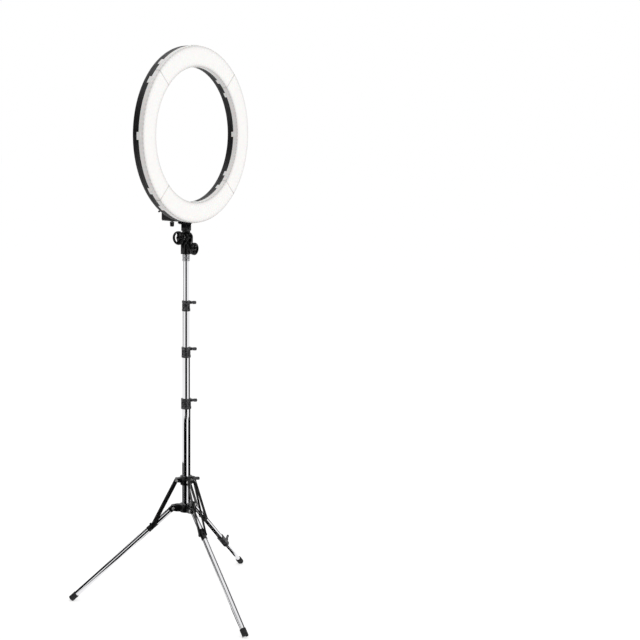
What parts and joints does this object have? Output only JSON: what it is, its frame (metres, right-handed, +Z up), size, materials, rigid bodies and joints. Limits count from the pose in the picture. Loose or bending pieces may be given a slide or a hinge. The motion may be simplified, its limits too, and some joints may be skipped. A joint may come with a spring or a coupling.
{
  "type": "ring light on stand",
  "caption": "Ring light with segmented diffuser and rear control box, tilting on a telescopic chromed mast with fold-up tripod legs.",
  "frame": {"origin": "on the floor at the mast axis, with the legs spread", "axes": "+Z up along the mast, -Y out of the face of the ring, X along the tilt axis"},
  "size_m": [0.5783, 0.5867, 1.5863],
  "materials": {
    "housing_plastic": "satin moulded black plastic",
    "diffuser_plastic": "translucent white diffuser plastic",
    "circuit_board": "white solder mask",
    "led_phosphor": "phosphor-filled LED packages",
    "board_green": "green solder mask",
    "screw_zinc": "zinc-plated steel",
    "screw_black": "black-oxide steel",
    "switch_nickel": "nickel-plated brass",
    "knob_plastic": "gloss black moulded plastic",
    "bracket_paint": "black powder coat on die-cast alloy",
    "chrome_tube": "polished chromed steel tube",
    "polished_alloy": "turned aluminium",
    "clamp_casting": "dark grey painted casting",
    "brace_steel": "black painted flat steel",
    "foot_rubber": "black rubber"
  },
  "bodies": {
    "stand": {"main_tube": "chrome_tube", "clamp_1": "clamp_casting", "hub": "bracket_paint", "hub_pins": "screw_zinc", "hub_plug": "knob_plastic"},
    "section_2": {"tube_2": "chrome_tube", "clamp_2": "clamp_casting"},
    "section_3": {"tube_3": "chrome_tube", "clamp_3": "clamp_casting"},
    "section_4": {"tube_4": "chrome_tube", "spigot": "polished_alloy"},
    "wing_1": {"clamp_screw_1": "clamp_casting"},
    "wing_2": {"clamp_screw_2": "clamp_casting"},
    "wing_3": {"clamp_screw_3": "clamp_casting"},
    "socket": {"socket_body": "bracket_paint", "tilt_bolt": "screw_zinc", "tilt_washers": "screw_zinc"},
    "lock_wheel": {"lock_knob": "knob_plastic"},
    "tilt_wheel": {"tilt_knob": "knob_plastic"},
    "head": {"ring_housing": "housing_plastic", "led_board": "circuit_board", "led_packages": "led_phosphor", "housing_screws": "screw_black", "diffuser_1": "diffuser_plastic", "diffuser_2": "diffuser_plastic", "diffuser_3": "diffuser_plastic", "diffuser_4": "diffuser_plastic", "control_box": "housing_plastic", "control_box_cover": "housing_plastic", "cover_screws": "screw_black", "driver_board": "board_green", "dimmer_pot": "switch_nickel", "toggle_switch": "switch_nickel", "power_inlet": "knob_plastic", "mount_plate": "bracket_paint", "bracket_screws": "screw_zinc", "tilt_neck": "bracket_paint"},
    "dimmer": {"dimmer_knob": "knob_plastic"},
    "toggle": {"toggle_lever": "knob_plastic"},
    "slider": {"collar": "bracket_paint", "collar_pins": "screw_zinc"},
    "slider_wing": {"collar_screw": "knob_plastic"},
    "leg_1": {"leg_tube_1": "chrome_tube", "leg_end_1": "bracket_paint", "brace_sleeve_1": "brace_steel", "level_clamp": "clamp_casting"},
    "leg_1_inner": {"level_tube": "chrome_tube", "foot_1": "foot_rubber"},
    "leg_1_wing": {"level_screw": "clamp_casting"},
    "leg_2": {"leg_tube_2": "chrome_tube", "leg_end_2": "bracket_paint", "brace_sleeve_2": "brace_steel", "foot_2": "foot_rubber"},
    "leg_3": {"leg_tube_3": "chrome_tube", "leg_end_3": "bracket_paint", "brace_sleeve_3": "brace_steel", "foot_3": "foot_rubber"},
    "link_1": {"brace_1": "brace_steel"},
    "link_2": {"brace_2": "brace_steel"},
    "link_3": {"brace_3": "brace_steel"}
  },
  "joints": [
    {"name": "mast_slide_1", "type": "slide", "parent": "stand", "child": "section_2", "axis": [0, 0, 1], "range_m": [-0.1185, 0.12]},
    {"name": "mast_slide_2", "type": "slide", "parent": "section_2", "child": "section_3", "axis": [0, 0, 1], "range_m": [-0.1025, 0.15]},
    {"name": "mast_slide_3", "type": "slide", "parent": "section_3", "child": "section_4", "axis": [0, 0, 1], "range_m": [-0.1115, 0.18]},
    {"name": "clamp_turn_1", "type": "hinge", "parent": "stand", "child": "wing_1", "pos_m": [0, 0, 0.59544], "axis": [0.5906, -0.807, 0], "range_deg": [-180, 180]},
    {"name": "clamp_turn_2", "type": "hinge", "parent": "section_2", "child": "wing_2", "pos_m": [0, 0, 0.74444], "axis": [0.5906, -0.807, 0], "range_deg": [-180, 180]},
    {"name": "clamp_turn_3", "type": "hinge", "parent": "section_3", "child": "wing_3", "pos_m": [0, 0, 0.87744], "axis": [0.5906, -0.807, 0], "range_deg": [-180, 180]},
    {"name": "head_pan", "type": "hinge", "parent": "section_4", "child": "socket", "pos_m": [0, 0, 1.01494], "axis": [0, 0, 1], "continuous": true},
    {"name": "socket_lock", "type": "hinge", "parent": "socket", "child": "lock_wheel", "pos_m": [0, -0.02, 1.03094], "axis": [0, -1, 0], "range_deg": [-180, 180]},
    {"name": "tilt_lock", "type": "hinge", "parent": "socket", "child": "tilt_wheel", "pos_m": [-0.02, 0, 1.06194], "axis": [-1, 0, 0], "range_deg": [-180, 180]},
    {"name": "head_tilt", "type": "hinge", "parent": "socket", "child": "head", "pos_m": [0, 0, 1.06194], "axis": [1, 0, 0], "range_deg": [-80, 60]},
    {"name": "dimmer_turn", "type": "hinge", "parent": "head", "child": "dimmer", "pos_m": [-0.038, 0.02, 1.10094], "axis": [0, 0, -1], "range_deg": [0, 290]},
    {"name": "power_toggle", "type": "hinge", "parent": "head", "child": "toggle", "pos_m": [-0.044, 0.0455, 1.13594], "axis": [1, 0, 0], "range_deg": [0, 24]},
    {"name": "collar_slide", "type": "slide", "parent": "stand", "child": "slider", "axis": [0, 0, 1], "range_m": [0, 0.15047]},
    {"name": "collar_lock", "type": "hinge", "parent": "slider", "child": "slider_wing", "pos_m": [0, 0, 0.36443], "axis": [0.5906, -0.807, 0], "range_deg": [-180, 180]},
    {"name": "leg_fold_1", "type": "hinge", "parent": "stand", "child": "leg_1", "pos_m": [0.03728, 0.00405, 0.27764], "axis": [0.108, -0.9942, 0], "range_deg": [0, 126.5]},
    {"name": "leg_fold_2", "type": "hinge", "parent": "stand", "child": "leg_2", "pos_m": [-0.02215, 0.03026, 0.27764], "axis": [0.807, 0.5906, 0], "range_deg": [0, 126.5]},
    {"name": "leg_fold_3", "type": "hinge", "parent": "stand", "child": "leg_3", "pos_m": [-0.01513, -0.03431, 0.27764], "axis": [-0.915, 0.4035, 0], "range_deg": [0, 126.5]},
    {"name": "link_turn_1", "type": "hinge", "parent": "slider", "child": "link_1", "pos_m": [0.02744, 0.00298, 0.36043], "axis": [0.108, -0.9942, 0], "range_deg": [-19.68, 0]},
    {"name": "link_turn_2", "type": "hinge", "parent": "slider", "child": "link_2", "pos_m": [-0.0163, 0.02227, 0.36043], "axis": [0.807, 0.5906, 0], "range_deg": [-19.68, 0]},
    {"name": "link_turn_3", "type": "hinge", "parent": "slider", "child": "link_3", "pos_m": [-0.01114, -0.02525, 0.36043], "axis": [-0.915, 0.4035, 0], "range_deg": [-19.68, 0]},
    {"name": "leg_length", "type": "slide", "parent": "leg_1", "child": "leg_1_inner", "axis": [0.7294, 0.0792, -0.6794], "range_m": [-0.1, 0.05]},
    {"name": "leg_lock", "type": "hinge", "parent": "leg_1", "child": "leg_1_wing", "pos_m": [0.23058, 0.02505, 0.09758], "axis": [0.6755, 0.0734, 0.7337], "range_deg": [-180, 180]}
  ],
  "couplings": [
    {"joint": "leg_fold_2", "follows": "leg_fold_1", "ratio": 1},
    {"joint": "leg_fold_3", "follows": "leg_fold_1", "ratio": 1},
    {"joint": "collar_slide", "follows": "leg_fold_1", "m_per_rad": 0.068152},
    {"joint": "link_turn_1", "follows": "leg_fold_1", "ratio": -0.15559},
    {"joint": "link_turn_2", "follows": "leg_fold_1", "ratio": -0.15559},
    {"joint": "link_turn_3", "follows": "leg_fold_1", "ratio": -0.15559}
  ]
}
